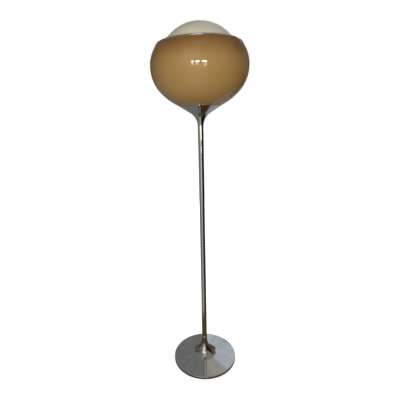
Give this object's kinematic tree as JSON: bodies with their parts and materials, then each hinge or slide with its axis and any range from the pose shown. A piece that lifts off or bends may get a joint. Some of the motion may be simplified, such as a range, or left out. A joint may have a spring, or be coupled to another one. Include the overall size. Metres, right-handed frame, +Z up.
{
  "type": "floor lamp",
  "caption": "Slim floor lamp: chrome trumpet foot, straight chrome stem, chrome cup, round caramel bowl shade and a shallow opal dome that lifts off its ring.",
  "frame": {"origin": "centre of the foot on the floor", "axes": "+Z up along the stem, +Y towards the back, where the flex leaves the foot, +X to the right"},
  "size_m": [0.3671, 0.3672, 1.4223],
  "materials": {
    "chrome": "polished chrome plate, mirror-like",
    "caramel_acrylic": "glossy caramel acrylic, slightly translucent",
    "opal_acrylic": "glossy opal acrylic, warm white",
    "cast_iron": "rough casting, blackened",
    "felt": "dark felt",
    "black_rubber": "soft moulded rubber",
    "gasket_rubber": "thin cut sheet",
    "steel": "zinc plated, dull",
    "turned_aluminium": "turned, bright",
    "brass": "plain brass",
    "lead_sheath": "off-white flex sheath",
    "phenolic": "dark moulded phenolic",
    "block_plastic": "translucent white moulding",
    "ceramic": "glazed ceramic",
    "opal_glass": "white-coated glass bulb",
    "black_glass": "black pressed glass",
    "solder": "solder tip"
  },
  "bodies": {
    "lamp": {"base_shell": "chrome", "base_weight": "cast_iron", "felt_disc": "felt", "cable_bush": "black_rubber", "terminal_block": "block_plastic", "terminal_screws": "brass", "block_screw": "steel", "base_washer": "steel", "base_nut": "steel", "tie_rod": "steel", "lower_stem_bush": "turned_aluminium", "stem_tube": "chrome", "upper_stem_bush": "turned_aluminium", "stem_lead": "lead_sheath", "cup_shell": "chrome", "cup_washer": "turned_aluminium", "cup_nut": "steel", "lower_shade_gasket": "gasket_rubber", "shade_bowl": "caramel_acrylic", "upper_shade_gasket": "gasket_rubber", "gallery_plate": "steel", "gallery_washer": "steel", "gallery_nut": "steel", "trim_ring": "chrome", "lampholder_cap": "phenolic", "lampholder_insert": "ceramic", "lampholder_barrel": "phenolic", "lampholder_sleeve": "brass", "centre_contact": "brass"},
    "dome": {"dome_diffuser": "opal_acrylic"},
    "bulb": {"bulb_glass": "opal_glass", "bulb_cap": "turned_aluminium", "bulb_insulator": "black_glass", "bulb_contact": "solder"}
  },
  "joints": [
    {"name": "dome_lift", "type": "slide", "parent": "lamp", "child": "dome", "axis": [0, 0, 1], "range_m": [0, 0.12]},
    {"name": "bulb_lift", "type": "slide", "parent": "lamp", "child": "bulb", "axis": [0, 0, 1], "range_m": [0, 0.03]}
  ]
}
